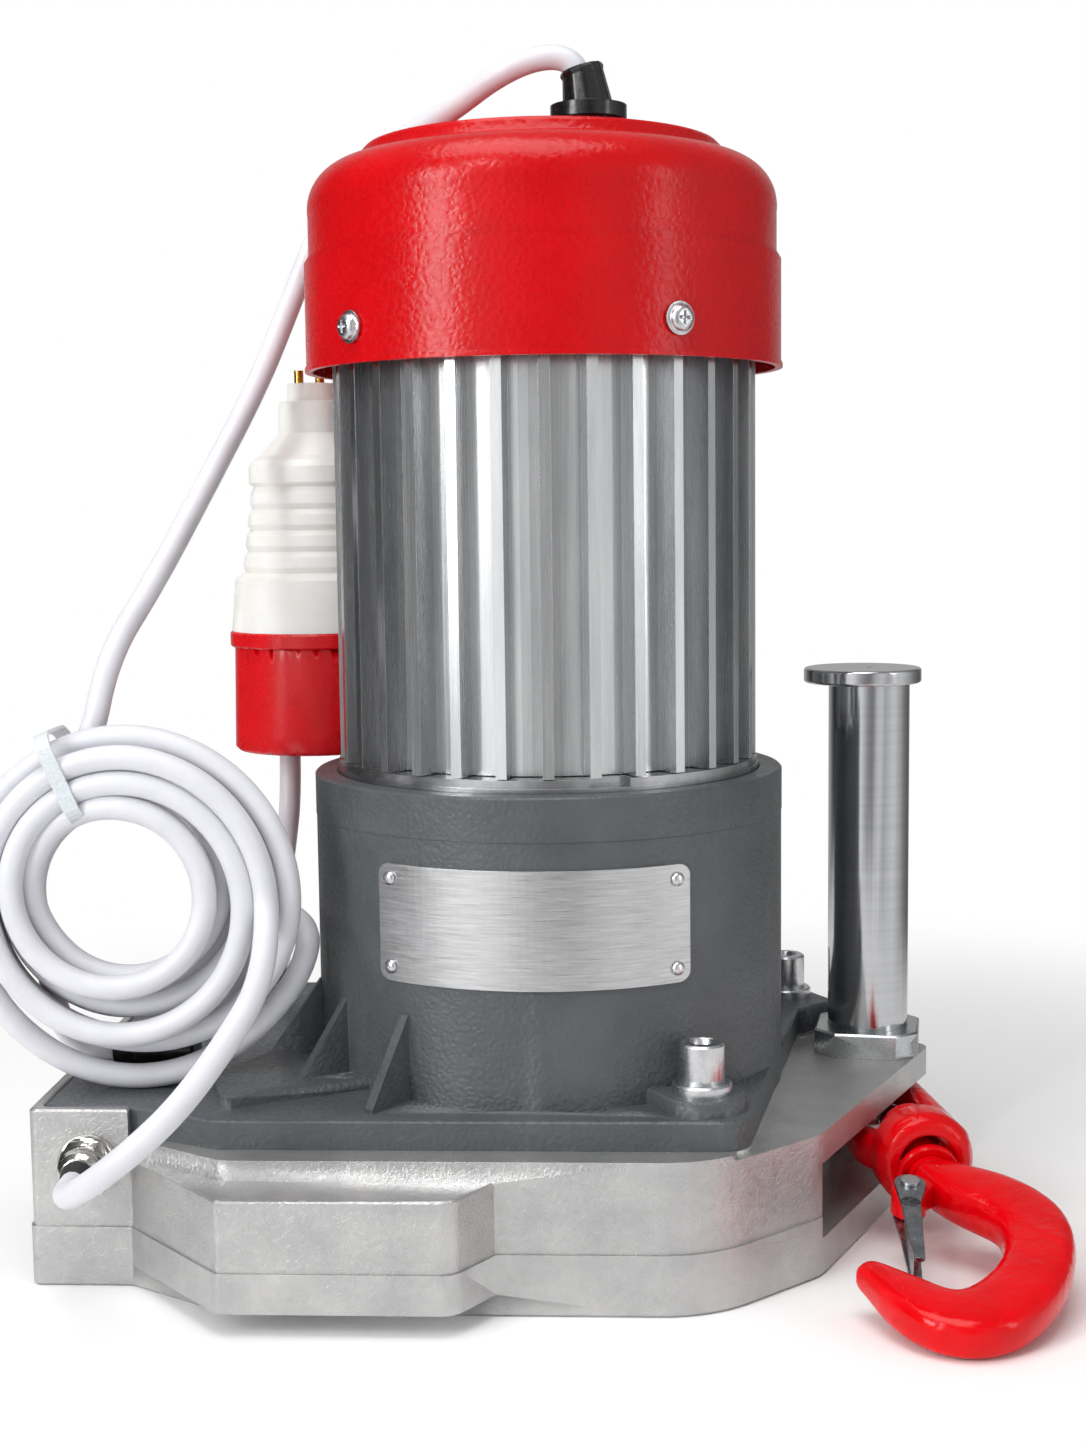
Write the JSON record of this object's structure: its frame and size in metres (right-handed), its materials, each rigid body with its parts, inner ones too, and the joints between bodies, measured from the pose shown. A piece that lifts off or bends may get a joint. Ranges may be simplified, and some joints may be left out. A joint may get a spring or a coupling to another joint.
{
  "type": "material hoist",
  "caption": "Electric material hoist: finned motor with a fan cover on a grey casing and a flat gearbox, suspension pin, swivel hook with latch, and a coiled supply cord with plug.",
  "frame": {"origin": "on the motor axis, in the plane that the gearbox stands on", "axes": "+Z along the motor axis towards the fan cover, +X towards the suspension pin and hook, -Y the front face of the gearbox"},
  "size_m": [0.408, 0.26, 0.4457],
  "materials": {
    "cast_aluminium": "as-cast aluminium with a fine mould texture",
    "grey_paint": "dark grey wrinkle paint on cast iron",
    "extruded_aluminium": "extruded aluminium, mill finish",
    "red_wrinkle_paint": "satin red powder coat",
    "zinc_steel": "bright zinc plated steel",
    "polished_steel": "ground and polished steel",
    "laminations": "electrical steel laminations",
    "copper": "varnished copper",
    "friction_lining": "brake lining",
    "black_plastic": "black nylon",
    "gear_steel": "hardened gear steel",
    "brushed_plate": "brushed aluminium sheet",
    "gloss_red": "gloss red enamel",
    "zinc_grey": "dark zinc plated sheet",
    "nickel": "nickel plated brass",
    "red_plastic": "red polyamide",
    "white_plastic": "white polyamide",
    "brass": "brass",
    "cord_grey": "pale grey flexible sheath"
  },
  "bodies": {
    "hoist": {"lower_housing": "cast_aluminium", "upper_housing": "cast_aluminium", "motor_casing": "grey_paint", "casing_ring": "grey_paint", "drive_end_shield": "cast_aluminium", "motor_housing": "extruded_aluminium", "fan_end_shield": "cast_aluminium", "fan_cover": "red_wrinkle_paint", "cover_screws": "zinc_steel", "stator_core": "laminations", "stator_windings": "copper", "motor_bearings": "polished_steel", "brake_magnet": "laminations", "bearing_plate": "cast_aluminium", "gear_bearings": "polished_steel", "flange_bolts": "zinc_steel", "bolt_collars": "zinc_steel", "housing_screws": "zinc_steel", "nameplate": "brushed_plate", "nameplate_rivets": "zinc_steel", "suspension_pin": "polished_steel", "pin_nut": "polished_steel", "bail_spacers": "polished_steel", "top_gland_base": "black_plastic", "top_gland_boot": "black_plastic", "base_gland_body": "nickel", "base_gland_nut": "nickel", "plug_shroud": "red_plastic", "plug_ring": "red_plastic", "plug_body": "white_plastic", "plug_pins": "brass", "motor_cord": "cord_grey", "plug_cord": "cord_grey", "base_cord": "cord_grey", "cord_coil": "cord_grey", "signal_connector": "black_plastic"},
    "rotor": {"motor_shaft": "gear_steel", "rotor_core": "laminations", "cooling_fan": "black_plastic", "brake_disc": "friction_lining"},
    "brake_plate": {"brake_armature": "laminations"},
    "counter_train": {"counter_shaft": "gear_steel", "counter_gear": "gear_steel"},
    "load_train": {"load_shaft": "gear_steel", "load_gear": "gear_steel", "load_wheel": "gear_steel"},
    "bail": {"bail": "gloss_red"},
    "hook": {"hook": "gloss_red", "hook_nut": "gloss_red", "latch_pin": "zinc_steel"},
    "latch": {"latch": "zinc_grey"}
  },
  "joints": [
    {"name": "rotor_spin", "type": "hinge", "parent": "hoist", "child": "rotor", "pos_m": [0, 0, 0.2], "axis": [0, 0, 1], "continuous": true},
    {"name": "brake_release", "type": "slide", "parent": "hoist", "child": "brake_plate", "axis": [0, 0, 1], "range_m": [0, 0.0006]},
    {"name": "counter_spin", "type": "hinge", "parent": "hoist", "child": "counter_train", "pos_m": [-0.03278, -0.02626, 0.05], "axis": [0, 0, 1], "continuous": true},
    {"name": "load_spin", "type": "hinge", "parent": "hoist", "child": "load_train", "pos_m": [-0.083, 0.015, 0.03], "axis": [0, 0, 1], "continuous": true},
    {"name": "bail_swing", "type": "hinge", "parent": "hoist", "child": "bail", "pos_m": [0.128, 0.042, 0.031], "axis": [0, 0, 1], "range_deg": [0, 130]},
    {"name": "hook_swivel", "type": "hinge", "parent": "bail", "child": "hook", "pos_m": [0.13989, -0.03306, 0.031], "axis": [0.1107, -0.9719, -0.2079], "continuous": true},
    {"name": "latch_open", "type": "hinge", "parent": "hook", "child": "latch", "pos_m": [0.1319, -0.06449, 0.02456], "axis": [0.0235, -0.2066, 0.9781], "range_deg": [0, 32], "stiffness_Nm_per_rad": 0.15, "springref_deg": -11.46}
  ],
  "couplings": [
    {"joint": "counter_spin", "follows": "rotor_spin", "ratio": -0.33333},
    {"joint": "load_spin", "follows": "rotor_spin", "ratio": 0.12281}
  ]
}
